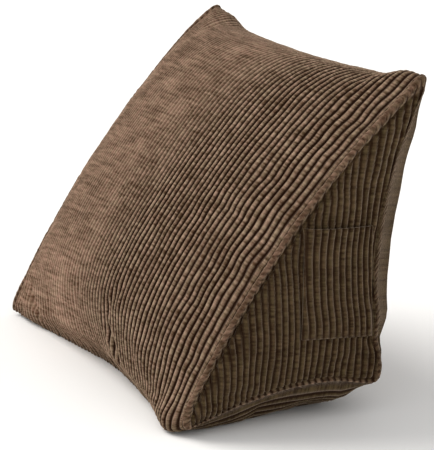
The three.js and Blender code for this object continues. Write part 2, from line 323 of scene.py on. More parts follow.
class StudioSettings(bpy.types.PropertyGroup):
    azimuth: degrees("Azimuth", "Camera round the pillow, 0 looks at its front", 64.6)
    elevation: degrees("Elevation", "Camera above the floor", 13.6)
    roll: degrees("Roll", "Camera turned about its own axis", -1.6)
    distance: metres("Distance", "Camera to the pillow's middle", 2.225)
    focal_pixels: number("Focal length", "In pixels of the photo's frame", 2097)
    key_strength: number("Key light", "Irradiance of the wide light from the front left", 2.2)
    sky_strength: number("Sky", "Strength of the even light all round", 0.75)


def hump(t):
    """0 at both ends and 1 half-way."""
    return np.maximum(4 * t * (1 - t), 0)


def inside(t, steepness):
    """1 well inside, falling to 0 at both ends."""
    return np.minimum(hump(t) * steepness, 1)


def bell(away):
    return np.exp(-(away**2))


def between(a, b, share):
    return a * (1 - share) + b * share


def lengths_along(points):
    """How far along a line each of its points lies."""
    steps = np.linalg.norm(np.diff(points, axis=0), axis=-1)
    return np.concatenate([[0], np.cumsum(steps)])


def crowded(steps, squeeze):
    """Values from 0 to 1, closer together near both ends."""
    t = np.linspace(0, 1, steps + 1)
    return t - squeeze * np.sin(2 * np.pi * t) / (2 * np.pi)


def smooth_curve(x, knots, values):
    """Curve through values, which may be arrays, at knots, level with each knot's neighbours."""
    knots, values = np.asarray(knots, float), np.asarray(values, float)
    wide = (...,) + (None,) * (values.ndim - 1)
    slopes = np.gradient(values, knots, axis=0)
    slopes[1:-1] = (values[2:] - values[:-2]) / (knots[2:] - knots[:-2])[wide]
    x = np.clip(x, knots[0], knots[-1])
    i = np.clip(np.searchsorted(knots, x, side="right") - 1, 0, len(knots) - 2)
    span = (knots[i + 1] - knots[i])[wide]
    t = (x - knots[i])[wide] / span
    start = (2 * t**3 - 3 * t**2 + 1) * values[i] + (t**3 - 2 * t**2 + t) * span * slopes[i]
    end = (3 * t**2 - 2 * t**3) * values[i + 1] + (t**3 - t**2) * span * slopes[i + 1]
    return start + end


def resampled(grid, first_knots, second_knots, first, second):
    """A grid of vectors taken at other places along its two axes."""
    rows = smooth_curve(first, first_knots, grid)
    return smooth_curve(second, second_knots, rows.swapaxes(0, 1)).swapaxes(0, 1)


def blurred(grid, reach, wraps):
    """A grid of vectors averaged over its neighbours along both axes; wraps says which axes close."""
    weights = bell(np.arange(-2 * reach, 2 * reach + 1) / reach)
    weights /= weights.sum()
    for axis, closes in enumerate(wraps):
        width = [(0, 0)] * grid.ndim
        width[axis] = (2 * reach, 2 * reach)
        ends = {"mode": "wrap"} if closes else {"mode": "reflect", "reflect_type": "odd"}
        padded = np.pad(grid, width, **ends)
        grid = np.apply_along_axis(np.convolve, axis, padded, weights, "valid")
    return grid


def section(turn):
    """y, z and spread on the smooth closed curve through the middle section."""
    rows = np.array(MIDDLE_SECTION)
    turns = np.concatenate([rows[:, 0] - 3, rows[:, 0], rows[:, 0] + 3])
    return np.moveaxis(smooth_curve(turn % 3, turns, np.tile(rows[:, 1:], (3, 1))), -1, 0)


def soft_noise(name, first, second, side=0):
    """Smooth noise from -1 to 1, at places along the two directions that NOISES gives it."""
    first_reach, second_reach, first_shift, second_shift, seed = NOISES[name]
    lattice = np.random.default_rng(seed + side).uniform(-1, 1, NOISE_LATTICE)
    x, y = np.broadcast_arrays(first / first_reach + first_shift, second / second_reach + second_shift)
    i, j = np.floor(x).astype(int), np.floor(y).astype(int)
    u, v = (t * t * (3 - 2 * t) for t in (x - i, y - j))
    rows, columns = NOISE_LATTICE

    def at(right, up):
        return lattice[(i + right) % rows, (j + up) % columns]

    return between(between(at(0, 0), at(1, 0), u), between(at(0, 1), at(1, 1), u), v)


def by_edge(turns, values):
    """Values for the slant, the back and the base, blended at the corners."""
    blend = 0.05  # turns to both sides of a corner
    knots = np.concatenate([[k + blend, k + 1 - blend] for k in (-1, 0, 1, 2, 3)])
    levels = np.repeat([values[2], values[0], values[1], values[2], values[0]], 2)
    return np.interp(turns % 3, knots, levels)


def cell_corners(grid):
    """The four corners of each cell of a grid, in turn."""
    return [grid[:-1, :-1], grid[1:, :-1], grid[1:, 1:], grid[:-1, 1:]]


class Wedge:
    """Smooth shape of the stuffed body in metres, worked out from its driving sizes."""

    slant_bow = (2 * MM, 21 * MM)  # inward, and forward along the front's normal
    back_bow = (12 * MM, 18 * MM)  # inward, and forward
    base_bow = (2 * MM, 20 * MM)  # inward, and up
    spread_limits = (0.35, 1.05)
    crown_sharpness = (0.7, 0.9)  # along the depth, and upward
    corner_rounding = (0.05, 0.042, 0.06)  # toe, top and heel, as a share of the seams on both sides
    panel_start = (4.2, 6.5, 4.2)  # slant, back and base: millimetres from the seam in to the panel
    tangent_step = 0.004  # turns

    def __init__(self, sizes):
        self.sizes = sizes

    def corners(self, side):
        s = self.sizes
        x = side * s.spread / 2
        toe = np.array([x, -s.depth / 2, s.toe_corner_z])
        top = np.array([x + side * s.ear_out, s.depth / 2 + s.top_setback, s.tall])
        heel = np.array([x, s.depth / 2, s.heel_corner_z])
        return toe, top, heel

    def seam_sharp(self, turn, side):
        """The side seam with sharp corners: three bows."""
        turn = np.asarray(turn, float) % 3
        toe, top, heel = self.corners(side)
        slope = (top - toe) * (0, 1, 1)
        slope /= np.linalg.norm(slope)
        front_normal = np.array([0, -slope[2], slope[1]])
        slant_bow = front_normal * self.slant_bow[1] - (side * self.slant_bow[0], 0, 0)
        back_bow = (-side * self.back_bow[0], -self.back_bow[1], 0)
        base_bow = (-side * self.base_bow[0], 0, self.base_bow[1])
        bows = np.stack([slant_bow, back_bow, base_bow])
        starts = np.stack([toe, top, heel])
        ends = np.stack([top, heel, toe])
        edge = np.minimum(turn.astype(int), 2)
        t = (turn - edge)[..., None]
        return between(starts[edge], ends[edge], t) + bows[edge] * hump(t)

    def seam(self, turn, side):
        """The side seam, rounded off at its three corners."""
        turn = np.asarray(turn, float)
        corner = np.round(turn)
        reach = np.array(self.corner_rounding)[corner.astype(int) % 3]
        off = np.clip((turn - corner) / reach, -1, 1)[..., None]
        before, tip, after = (self.seam_sharp(corner + k * reach, side) for k in (-1, 0, 1))
        t = (off + 1) / 2
        arc = before * (1 - t) ** 2 + tip * 2 * t * (1 - t) + after * t**2
        return np.where(np.abs(off) < 1, arc, self.seam_sharp(turn, side))

    def wrap(self, across, turn):
        """The strip that makes front, back and base; across is 0 at the left seam and 1 at the right."""
        across, turn = np.broadcast_arrays(across, turn)
        left, right = self.seam(turn, -1), self.seam(turn, 1)
        on_seams = between(left, right, across[..., None])
        y, z, spread = section(turn)
        bulge = np.stack([0 * turn, y * MM, z * MM], -1) - (left + right) / 2
        return on_seams + bulge * (hump(across) ** np.clip(spread, *self.spread_limits))[..., None]

    def beside_seam(self, turn, side, outward, sideways):
        """Points near the seam: outward goes away from the side panel in its own plane."""
        toe, top, heel = self.corners(side)
        front, back, base = (np.linalg.norm(run) for run in (top - toe, heel - top, toe - heel))
        around = front + back + base
        area = np.linalg.norm(np.cross(top - toe, heel - toe)) / 2
        inradius = 2 * area / around
        centre = (toe * back + top * base + heel * front) / around
        seam = self.seam(turn, side)
        tangent = self.seam(turn + self.tangent_step, side) - self.seam(turn - self.tangent_step, side)
        away = np.stack([0 * turn, -tangent[..., 2], tangent[..., 1]], -1)
        away /= np.linalg.norm(away, axis=-1, keepdims=True)
        outward = np.broadcast_to(outward, turn.shape)[..., None]
        inward_step = (seam - centre) / inradius * np.minimum(outward, 0)
        points = seam + inward_step + away * np.maximum(outward, 0)
        points[..., 0] += side * sideways
        return points

    def panel_foot(self, turn, side):
        """Where a side panel begins, inside its seam lip."""
        return self.beside_seam(turn, side, -by_edge(turn, self.panel_start) * MM, 0)

    def panel(self, along, upward, side):
        """A side panel inside its seam lip, along the depth from the toe, and upward."""
        along, upward = np.broadcast_arrays(along, upward)
        top, heel = (self.panel_foot(np.array(turn), side) for turn in (1.0, 2.0))
        s, t = along[..., None], upward[..., None]
        ruled = between(self.panel_foot(3 - along, side), self.panel_foot(along, side), t)
        ruled = ruled + s * (self.panel_foot(2 - upward, side) - between(heel, top, t))
        crown = hump(along) ** self.crown_sharpness[0] * hump(upward) ** self.crown_sharpness[1]
        ruled[..., 0] += side * self.sizes.side_crown * crown
        return ruled


def settled(points):
    """Shapes the corner ears and the creases, and lets nothing sink into the floor."""
    points = points.copy()
    for place, push, reach in np.array(EARS_AND_SAGS) * MM:
        away = np.linalg.norm((points - place) / reach, axis=-1)
        points += push * bell(away)[..., None]
    for *line_and_push, width in CREASES:
        start, end, push = np.array(line_and_push) * MM
        run = end - start
        share = np.clip((points - start) @ run / (run @ run), 0, 1)[..., None]
        away = np.linalg.norm(points - start - run * share, axis=-1) / (width * MM)
        points += push * bell(away)[..., None]
    points[..., 2] = np.maximum(points[..., 2], 0)
    return points


class StuffedCage:
    """A coarse closed cage of the cover, blown up as cloth, that tells how each place of it moves."""

    steps = 36  # along each edge of a side panel
    columns = 44  # across the wrap strip
    frames = 20
    quality = 6
    mass = 0.3
    pressure = 4.0
    extra_cloth = 0.012
    touching = 0.5 * MM  # what lies this close to the floor stays on it
    blur_reach = 4  # cells; slower swelling is left out, since the sections hold the body's bulge
    most = 2.0 * MM  # farthest that a place may move

    def __init__(self, wedge):
        self.across = np.linspace(0, 1, self.columns + 1)
        self.share = np.linspace(0, 1, self.steps + 1)
        self.turns = np.arange(3 * self.steps) / self.steps
        self.wrap_moves = np.zeros((len(self.across), len(self.turns), 3))
        self.panel_moves = {side: np.zeros((len(self.share), len(self.share), 3)) for side in (1, -1)}
        self.find_moves(wedge)

    def find_moves(self, wedge):
        n = self.steps
        step = np.arange(1, n + 1)
        wrap = settled(wedge.wrap(*np.meshgrid(self.across, self.turns, indexing="ij")))
        wrap_index = np.arange(wrap.shape[0] * wrap.shape[1]).reshape(wrap.shape[:2])
        points = [wrap.reshape(-1, 3)]
        faces = self.quads(np.hstack([wrap_index, wrap_index[:, :1]]), False)
        panel_index = {}
        count = wrap_index.size
        inner = np.meshgrid(self.share[1:-1], self.share[1:-1], indexing="ij")
        for side, column in ((1, -1), (-1, 0)):
            points.append(settled(wedge.panel(*inner, side)).reshape(-1, 3))
            index = np.zeros((n + 1, n + 1), int)
            index[1:-1, 1:-1] = count + np.arange((n - 1) ** 2).reshape(n - 1, n - 1)
            count += (n - 1) ** 2
            seam = wrap_index[column]
            index[0, :] = seam[0]
            index[1:, 0] = seam[3 * n - step]
            index[1:, -1] = seam[step]
            index[-1, 1:] = seam[2 * n - step]
            faces += self.quads(index, side < 0)
            panel_index[side] = index
        points = np.concatenate(points)
        on_floor = points[:, 2] < self.touching
        pinned = np.union1d(np.flatnonzero(on_floor), wrap_index[[0, -1]].ravel())
        moves = self.blown_up(points, faces, pinned) - points
        self.wrap_moves = self.creases(moves[wrap_index], (False, True))
        for side, index in panel_index.items():
            self.panel_moves[side] = self.creases(moves[index], (False, False))

    def quads(self, index, flipped):
        rows = np.stack([c.ravel() for c in cell_corners(index)], -1)
        rows = rows[:, ::-1] if flipped else rows
        return [tuple(dict.fromkeys(row)) for row in rows.tolist()]

    def blown_up(self, points, faces, pinned):
        """Where the points of the cage end up, sewn fast where they are pinned."""
        mesh = bpy.data.meshes.new("cage")
        mesh.from_pydata(points.tolist(), [], faces)
        cage = add_object("cage", mesh)
        group = cage.vertex_groups.new(name="sewn")
        group.add([int(i) for i in pinned], 1.0, "REPLACE")
        cloth = cage.modifiers.new("stuffing", "CLOTH")
        settings = cloth.settings
        settings.quality = self.quality
        settings.mass = self.mass
        settings.vertex_group_mass = group.name
        settings.use_pressure = True
        settings.uniform_pressure_force = self.pressure
        settings.shrink_min = -self.extra_cloth
        settings.effector_weights.gravity = 0
        cloth.point_cache.frame_end = self.frames
        scene = bpy.context.scene
        for frame in range(1, self.frames + 1):
            scene.frame_set(frame)
        blown = cage.evaluated_get(bpy.context.evaluated_depsgraph_get()).data
        result = np.array([vertex.co[:] for vertex in blown.vertices])
        bpy.data.objects.remove(cage)
        bpy.data.meshes.remove(mesh)
        scene.frame_set(1)
        return result

    def creases(self, moves, wraps):
        """The moves without their slow swelling, none longer than the most allowed."""
        moves = moves - blurred(moves, self.blur_reach, wraps)
        size = np.linalg.norm(moves, axis=-1, keepdims=True)
        return moves * self.most * np.tanh(size / self.most) / np.maximum(size, 1e-9)

    def on_wrap(self, across, turns):
        laps = np.concatenate([self.turns - 3, self.turns, self.turns + 3])
        grid = np.concatenate([self.wrap_moves] * 3, axis=1)
        return resampled(grid, self.across, laps, across, np.asarray(turns) % 3)

    def on_panel(self, side, along, upward):
        return resampled(self.panel_moves[side], self.share, self.share, along, upward)


def add_object(name, data):
    made = bpy.data.objects.new(name, data)
    bpy.context.scene.collection.objects.link(made)
    return made


def ridge(count):
    """Height of the ribs, 0 in a groove and 1 on top, where count is 0, 1, 2... in the grooves."""
    return np.abs(np.sin(np.pi * count)) ** RIDGE_POWER


def grid_normals(points, flip=1):
    """Outward unit normals of a grid of points."""
    normal = np.cross(*np.gradient(points, axis=(0, 1))) * flip
    return normal / np.maximum(np.linalg.norm(normal, axis=-1, keepdims=True), 1e-12)


class ClothMesh:
    """Collects the points, faces and cloth coordinates of one piece."""

    def __init__(self):
        self.points = []
        self.count = 0
        self.faces = []
        self.uvs = []
        self.side_nap_and_shade = []
        self.filled = []

    def add_points(self, points, side_nap_and_shade, filled):
        """The second value is the share of the side panels' darker tint, partly nap tone and partly painted
        shade: 0 on the front and 1 on a side panel; filled is 1 where no groove shows.
        """
        shape = points.shape[:-1]
        index = self.count + np.arange(math.prod(shape)).reshape(shape)
        self.count += index.size
        self.points.append(points.reshape(-1, 3))
        self.side_nap_and_shade.append(np.broadcast_to(side_nap_and_shade, shape).ravel())
        self.filled.append(np.broadcast_to(filled, shape).ravel())
        return index

    def add_faces(self, corners, uvs, flipped=False):
        """Faces given corner by corner; corners that fall together count once."""
        index = np.stack([corner.ravel() for corner in corners], -1)
        uv = np.stack([corner.reshape(-1, 2) for corner in uvs], 1)
        if flipped:
            index, uv = index[:, ::-1], uv[:, ::-1]
        whole = np.array([len(set(row)) == len(row) for row in index])
        self.faces += index[whole].tolist()
        self.uvs += list(uv[whole])
        for row, coords in zip(index[~whole].tolist(), uv[~whole]):
            seen = [k for k, i in enumerate(row) if i not in row[:k]]
            if len(seen) == 3:
                self.faces.append([row[k] for k in seen])
                self.uvs.append(coords[seen])

    def add_grid(self, index, uv, flipped=False):
        """A grid of quads; the first axis runs right and the second up when seen from outside."""
        self.add_faces(cell_corners(index), cell_corners(uv), flipped)

    def build(self, name):
        mesh = bpy.data.meshes.new(name)
        mesh.from_pydata(np.concatenate(self.points).tolist(), [], self.faces)
        mesh.validate()
        layer = mesh.uv_layers.new(name="cloth")
        layer.data.foreach_set("uv", np.concatenate(self.uvs).astype(np.float32).ravel())
        for key, values in {"side_nap_and_shade": self.side_nap_and_shade, "filled_groove": self.filled}.items():
            layer = mesh.attributes.new(key, "FLOAT", "POINT")
            layer.data.foreach_set("value", np.concatenate(values).astype(np.float32))
        mesh.shade_smooth()
        return add_object(name, mesh)


def zip_loops(cloth, outer, inner, flipped):
    """Joins two loops of (index, turn, uv), each in the order of its turns and ending where it began."""
    a_index, a_turn, a_uv = outer
    b_index, b_turn, b_uv = inner
    a_next, b_next = np.append(a_turn[1:], math.inf), np.append(b_turn[1:], math.inf)
    first = len(a_turn)  # place of the inner loop's first point when both loops lie in one list
    i = j = 0
    corners = []
    while i < len(a_turn) - 1 or j < len(b_turn) - 1:
        if a_next[i] <= b_next[j]:
            corners.append((i, first + j, i + 1))
            i += 1
        else:
            corners.append((i, first + j, first + j + 1))
            j += 1
    corners = np.array(corners).T
    cloth.add_faces(np.append(a_index, b_index)[corners], np.concatenate([a_uv, b_uv])[corners], flipped)


def beaded(count, bead, noise):
    """Height of the ribs about their middle, for ribs one high, with beads along them."""
    return ridge(count) * (1 + bead * noise) - 0.5


def add_wrap(cloth, wedge, cage, corduroy):
    """The wrap strip, from the closing seam at the heel round the base, the front and the back."""
    wales = corduroy.wrap_wales
    across = np.linspace(0, 1, wales * COLUMNS_PER_WALE + 1)
    base, front, back = (crowded(*rows) for rows in (BASE_ROWS, FRONT_ROWS, BACK_ROWS))
    turns = np.concatenate([2 + base[:-1], 3 + front[:-1], 4 + back])
    column, turn = np.meshgrid(across, turns, indexing="ij")
    end = by_edge(turn, WRAP_ENDS)
    column = end + column * (1 - 2 * end)
    smooth = wedge.wrap(column, turn)
    length = np.broadcast_to(lengths_along(smooth[len(across) // 3]), column.shape)
    count = column * wales
    edge = np.minimum(column, 1 - column) * wedge.sizes.spread

    fade = inside(column, 6)
    gather = np.exp(-(edge / GATHER_REACH))
    wobble = soft_noise("wobble", count, length) + 0.5 * soft_noise("fine wobble", count, length)
    sway = soft_noise("sway", length, np.sign(column - 0.5)) * gather
    smooth = wedge.wrap(column + (wobble * WOBBLE + sway * SWAY) * fade / wales, turn)
    smooth = smooth + cage.on_wrap(across, turns)
    normals = grid_normals(smooth)
    billow = soft_noise("billow", length, count) * gather * BILLOW
    smooth = smooth + normals * (billow * fade)[..., None]

    lean_start, lean_turns = CRUSHED_LEAN_TURNS
    crushed_end = CRUSHED_END + CRUSHED_LEAN * np.clip(turn - lean_start, 0, lean_turns)
    crushed = np.clip((crushed_end - column) / CRUSHED_FADE, 0, 1) * by_edge(turn, (1, 0, 0))
    relief = beaded(count, BEAD, soft_noise("beads", np.floor(count) * BEAD_STEP, length))
    relief = relief * corduroy.wale_rise * (1 - CRUSHED_FLAT * crushed)
    points = settled(smooth + normals * relief[..., None])

    # Painted shade: the back and the base take on the side panels' darker tint, more of it close to the seam
    # lips; painted light pales the crushed front by the toe
    nap_and_shade = by_edge(turn, WRAP_PAINTED_SHADE)
    nap_and_shade = nap_and_shade + (by_edge(turn, WRAP_EDGE_PAINTED_SHADE) - nap_and_shade) * bell(edge / WRAP_EDGE_REACH)
    nap_and_shade = nap_and_shade - TOE_PAINTED_LIGHT * crushed * bell((turn - 3) / TOE_PAINTED_LIGHT_TURNS)
    filled = CRUSHED_FILLED * crushed + by_edge(turn, WRAP_EDGE_FILLED) * bell(edge / WRAP_FILLED_REACH)
    index = cloth.add_points(points[:, :-1], nap_and_shade[:, :-1], filled[:, :-1])
    index = np.concatenate([index, index[:, :1]], axis=1)
    uv = np.stack([count, length], -1)
    cloth.add_grid(index, uv)
    return {side: (index[place], turns, uv[place]) for side, place in ((-1, 0), (1, -1))}


def wale_count(place, wales):
    """Which wale lies at this place, where each next one is a little wider than the last."""
    first, pitch, growth = wales
    return (np.sqrt(pitch**2 + 2 * growth * (place - first)) - pitch) / growth


def panel_count(points, sizes):
    """Which wale of a side panel lies at these points."""
    heights, toe_shift, back_shift = np.array(GRAIN_SHIFT).T
    z = points[..., 2] / MM
    share = np.clip(points[..., 1] / sizes.depth + 0.5, 0, 1)
    shift = between(smooth_curve(z, heights, toe_shift), smooth_curve(z, heights, back_shift), share)
    return wale_count(points[..., 1] / MM + shift, PANEL_WALES)


def around_panel(along, upward):
    """Row, column and turn of the points round a side panel, in the order of its seam."""
    last, top_row = len(along) - 1, len(upward) - 1
    around = [(i, 0, 3 - along[i]) for i in range(last, -1, -1)]
    around += [(i, top_row, 3 + along[i]) for i in range(1, last + 1)]
    around += [(last, j, 5 - upward[j]) for j in range(top_row - 1, 0, -1)]
    row, column, turns = np.array(around).T
    return row.astype(int), column.astype(int), turns


def add_side_panel(cloth, wedge, cage, corduroy, side):
    """One side panel inside its seam lip; returns the points, coordinates and turns round its edge."""
    wales = corduroy.side_wales
    along = np.linspace(0, 1, wales * PANEL_COLUMNS_PER_WALE + 1)
    upward = crowded(*PANEL_ROWS)
    s, t = np.meshgrid(along, upward, indexing="ij")
    smooth = wedge.panel(s, t, side) + cage.on_panel(side, along, upward)
    height = smooth[..., 2]
    count = panel_count(smooth, wedge.sizes)
    count = count + PANEL_WOBBLE * soft_noise("panel wobble", s * wales, height, side)
    relief = beaded(count, BEAD, soft_noise("panel beads", np.floor(count) * BEAD_STEP, height, side))
    fade = inside(s, 30) * inside(t, 20)
    relief = relief * corduroy.wale_rise * fade - PANEL_RECESS * (1 - fade)
    points = smooth + grid_normals(smooth, side) * relief[..., None]
    points[0, :] = smooth[0, 0]
    points = settled(points)
    # The whole panel takes the side panels' darker tint: partly nap tone, partly painted shade
    body = cloth.add_points(points[1:], 1, PANEL_FILLED)
    toe = cloth.add_points(points[0, :1], 1, PANEL_FILLED)
    index = np.concatenate([np.broadcast_to(toe, (1, len(upward))), body])
    uv = np.stack([count + PANEL_FIRST_WALE[side], points[..., 2]], -1)
    cloth.add_grid(index, uv, side < 0)
    row, column, turns = around_panel(along, upward)
    return index[row, column], uv[row, column], turns


def closed(values):
    return np.concatenate([values, values[:1]])


def spans(values):
    """The values where each stretch of a closed loop starts, and where it ends."""
    return np.stack([values, np.roll(values, -1, axis=0)])


def add_seam_lip(cloth, wedge, corduroy, side, panel_edge, wrap_loop):
    """The raised lip between a side panel and the wrap strip, ring by ring from the panel outward."""
    edge_index, edge_uv, turns = panel_edge
    arc = lengths_along(wedge.seam(turns, side))
    arc_spans = np.stack([arc, np.append(arc[1:], arc[-1] + (arc[1] - arc[0]))])
    outward = by_edge(turns, LIP_OUTWARD) * MM + LIP_WANDER * soft_noise("lip wander", arc, side)
    sideways = by_edge(turns, LIP_SIDEWAYS) * MM
    girth = 1 + LIP_GIRTH * soft_noise("lip girth", arc, side)
    girth += FINE_LIP_GIRTH * soft_noise("fine lip girth", arc, side)
    radius = by_edge(turns, LIP_RADIUS) * MM * girth
    rope = by_edge(turns, LIP_ROPE)
    on_rope = (spans(rope).sum(axis=0) > 1)[:, None]
    lip_nap_and_shade = by_edge(turns, LIP_PAINTED_SHADE)
    wrap_nap_and_shade = by_edge(turns, WRAP_EDGE_PAINTED_SHADE)
    filled = by_edge(turns, LIP_FILLED)

    before = closed(edge_index), spans(edge_uv), spans(edge_uv)
    for ring in reversed(range(LIP_RINGS)):
        share = ring / (LIP_RINGS - 1)
        angle = LIP_START + (LIP_END - LIP_START) * share
        slope = STRAND_SLOPE * angle
        strands = STRAND_SWELL * ridge(arc / STRAND + slope) * rope
        swell = radius * (1 + strands + LIP_GRAIN * soft_noise("lip grain", arc, angle))
        ring_outward, ring_sideways = outward + swell * math.sin(angle), sideways + swell * math.cos(angle)
        points = wedge.beside_seam(turns, side, ring_outward, ring_sideways)
        tip = min(max((share - TIP_START) / TIP_BLEND, 0), 1)
        wale = panel_count(points, wedge.sizes)
        points[:, 0] += side * (ridge(wale) - 0.5) * TIP_RISE * (1 - rope * (1 - tip))
        points = settled(points)
        # The lip's painted shade leaves the wrap strip's over the first rings, and its tips by the panel
        # take on the panel's tint
        own = 1 - (1 - min(share / LIP_SHADE_BLEND, 1)) * (1 - by_edge(turns, LIP_OWN_SHADE))
        nap_and_shade = wrap_nap_and_shade + (lip_nap_and_shade - wrap_nap_and_shade) * own
        nap_and_shade = nap_and_shade + (1 - nap_and_shade) * TIP_NAP_AND_SHADE * tip
        index = closed(cloth.add_points(points, nap_and_shade, filled * (1 - tip) * own))
        panel_uv = spans(np.stack([wale + PANEL_FIRST_WALE[side], points[:, 2]], -1))
        rope_uv = np.stack([arc_spans / STRAND + slope, arc_spans], -1)
        here = index, panel_uv, rope_uv
        use_rope = on_rope & (tip < 0.5)
        inner, outer = (np.where(use_rope, as_rope, as_panel) for _, as_panel, as_rope in (before, here))
        corners = [index[:-1], before[0][:-1], before[0][1:], index[1:]]
        cloth.add_faces(corners, [outer[0], inner[0], inner[1], outer[1]], side < 0)
        before = here
    turns = np.append(turns, turns[0] + 3)
    groove = np.full(len(turns), corduroy.wrap_wales if side > 0 else 0)
    _, wrap_turns, wrap_uv = wrap_loop
    seam_uv = np.stack([groove, np.interp(turns, wrap_turns, wrap_uv[:, 1])], -1)
    zip_loops(cloth, wrap_loop, (before[0], turns, seam_uv), side < 0)


class Socket:
    """A value of a shader, used in plain arithmetic."""

    def __init__(self, graph, socket):
        self.graph = graph
        self.socket = socket

    def math(self, operation, *others):
        return self.graph.math(operation, self, *others)

    def __add__(self, other):
        return self.math("ADD", other)

    def __mul__(self, other):
        return self.math("MULTIPLY", other)

    def __sub__(self, other):
        return self.math("SUBTRACT", other)

    def __rsub__(self, other):
        return self.graph.math("SUBTRACT", other, self)


class Graph:
    """The nodes of one material."""

    def __init__(self, name):
        self.material = bpy.data.materials.new(name)
        self.material.use_nodes = True
        self.tree = self.material.node_tree
        self.shader = self.tree.nodes["Principled BSDF"]

    def node(self, kind, settings=None, sockets=None, output=0):
        made = self.tree.nodes.new(kind)
        for key, value in (settings or {}).items():
            setattr(made, key, value)
        for key, value in (sockets or {}).items():
            self.set(made.inputs[key], value)
        return Socket(self, made.outputs[output])

    def set(self, place, value):
        if isinstance(value, Socket):
            self.tree.links.new(value.socket, place)
        else:
            place.default_value = value

    def feed(self, name, value):
        self.set(self.shader.inputs[name], value)

    def math(self, operation, *values):
        return self.node("ShaderNodeMath", {"operation": operation}, dict(enumerate(values)))

    def attribute(self, name):
        return self.node("ShaderNodeAttribute", {"attribute_name": name}, output="Fac")

    def noise(self, vector, scale, detail=2.0, roughness=0.5):
        sockets = {"Vector": vector, "Scale": scale, "Detail": detail, "Roughness": roughness}
        return self.node("ShaderNodeTexNoise", {"noise_dimensions": "3D"}, sockets)

    def cloth_noise(self, count, across, length, along, detail=2.0, roughness=0.5):
        """Noise with this many bumps for each rib across, and for each metre along."""
        vector = self.node("ShaderNodeCombineXYZ", None, {0: count * across, 1: length * along})
        return self.noise(vector, 1.0, detail, roughness)

    def mix(self, factor, a, b, blend="MIX", clamp=True):
        settings = {"data_type": "RGBA", "blend_type": blend, "clamp_factor": clamp}
        first, second, mixed = 6, 7, 2  # its sockets for colours
        return self.node("ShaderNodeMix", settings, {0: factor, first: a, second: b}, mixed)

    def smooth_range(self, value, low, high):
        settings = {"interpolation_type": "SMOOTHSTEP"}
        return self.node("ShaderNodeMapRange", settings, {"Value": value, "From Min": low, "From Max": high})

    def bump(self, height, strength, distance, **more):
        sockets = {"Height": height, "Strength": strength, "Distance": distance, **more}
        return self.node("ShaderNodeBump", None, sockets)


def corduroy_material(name, corduroy):
    """Ribbed pile: pale crushed ridges, dark grooves with painted shade in them, mottled by wear and by the
    lie of the pile; the side panels, back and base darker by a tint that is partly nap tone and partly
    painted shade.
    """
    g = Graph(name)
    uv = g.node("ShaderNodeUVMap", {"uv_map": "cloth"})
    count = g.node("ShaderNodeSeparateXYZ", None, {0: uv}, "X")
    length = g.node("ShaderNodeSeparateXYZ", None, {0: uv}, "Y")
    place = g.node("ShaderNodeTexCoord", output="Object")
    side_nap_and_shade = g.attribute("side_nap_and_shade")
    filled = g.attribute("filled_groove")

    rib = (count * math.pi).math("SINE").math("ABSOLUTE")
    beads = g.cloth_noise(count.math("FLOOR"), BEAD_STEP, length, 330.0, roughness=0.6)
    crush = g.cloth_noise(count, 0.30, length, 230.0)
    patches = g.cloth_noise(count, 0.12, length, 55.0)
    streaks = g.cloth_noise(count, 0.13, length, 250.0, detail=1.0)
    fibres = g.noise(place, 1500.0)
    fuzz = g.noise(place, 520.0, 3.0, 0.7)
    cloud = g.noise(place, 14.0)
    hue = g.noise(place, 170.0)

    wear = (beads - 0.5) * (1.0 - filled * BEADS_HIDDEN) * WEAR["beads"]
    for noise, share in ((crush, "crush"), (patches, "patches"), (fuzz, "fuzz"), (cloud, "cloud")):
        wear = wear + (noise - 0.5) * WEAR[share]
    wear = wear + (streaks - 0.5) * filled * WEAR["streaks"] - filled * FILLED_DARKER
    fresh, worn = ((*np.multiply(corduroy.ridge_color, k), 1.0) for k in (FRESH_PILE, WORN_PILE))
    pile = g.mix(wear + 0.5, fresh, worn)
    tint = g.mix(g.smooth_range(hue, 0.35, 0.65), REDDISH, OLIVE)
    pile = g.mix(1.0, pile, tint, "MULTIPLY")
    # Side panels, pocket, back and base get a darker tint: partly nap tone, partly painted shade
    pile = g.mix(side_nap_and_shade, pile, SIDE_NAP_AND_SHADE_TINT, "MULTIPLY", clamp=False)
    pile = g.mix(filled, pile, CRUSHED_TINT, "MULTIPLY")
    # The groove colour, with its painted shade, shows in the grooves and on the lower flanks; filled grooves
    # hide it
    top = g.smooth_range(rib + (beads - 0.5) * 0.3, *PILE_FROM)
    top = top + filled * (1.0 - top)
    g.feed("Base Color", g.mix(top, tuple(corduroy.ground_and_groove_shade_color) + (1.0,), pile))

    coarse = g.bump(rib * 0.6 + beads * 0.45 + crush * 0.25, 0.75, 0.0014)
    g.feed("Normal", g.bump(fuzz * 0.6 + fibres * 0.4, 0.6, 0.0007, Normal=coarse))
    g.feed("Roughness", 0.92)
    g.feed("Specular IOR Level", 0.06)
    g.feed("Sheen Weight", corduroy.sheen)
    g.feed("Sheen Roughness", 0.45)
    g.feed("Sheen Tint", SHEEN_TINT)
    return g.material


def declare(piece, node):
    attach(piece, "root")
    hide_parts(node)


class PILLOW_OT_cushion_cover(bpy.types.Operator):
    """Builds the stuffed corduroy cover: wrap strip, two side panels and their seam lips"""

    bl_idname = "pillow.cushion_cover"
    bl_label = "Cushion cover"

    def execute(self, context):
        corduroy = context.scene.pillow_corduroy
        wedge = Wedge(context.scene.pillow_sizes)
        cage = StuffedCage(wedge)
        cloth = ClothMesh()
        loops = add_wrap(cloth, wedge, cage, corduroy)
        for side in (1, -1):
            panel_edge = add_side_panel(cloth, wedge, cage, corduroy, side)
            add_seam_lip(cloth, wedge, corduroy, side, panel_edge, loops[side])
        cover = cloth.build("cushion_cover")
        cover.data.materials.append(corduroy_material("brown_corduroy", corduroy))
        declare(cover, "cushion")
        return {"FINISHED"}


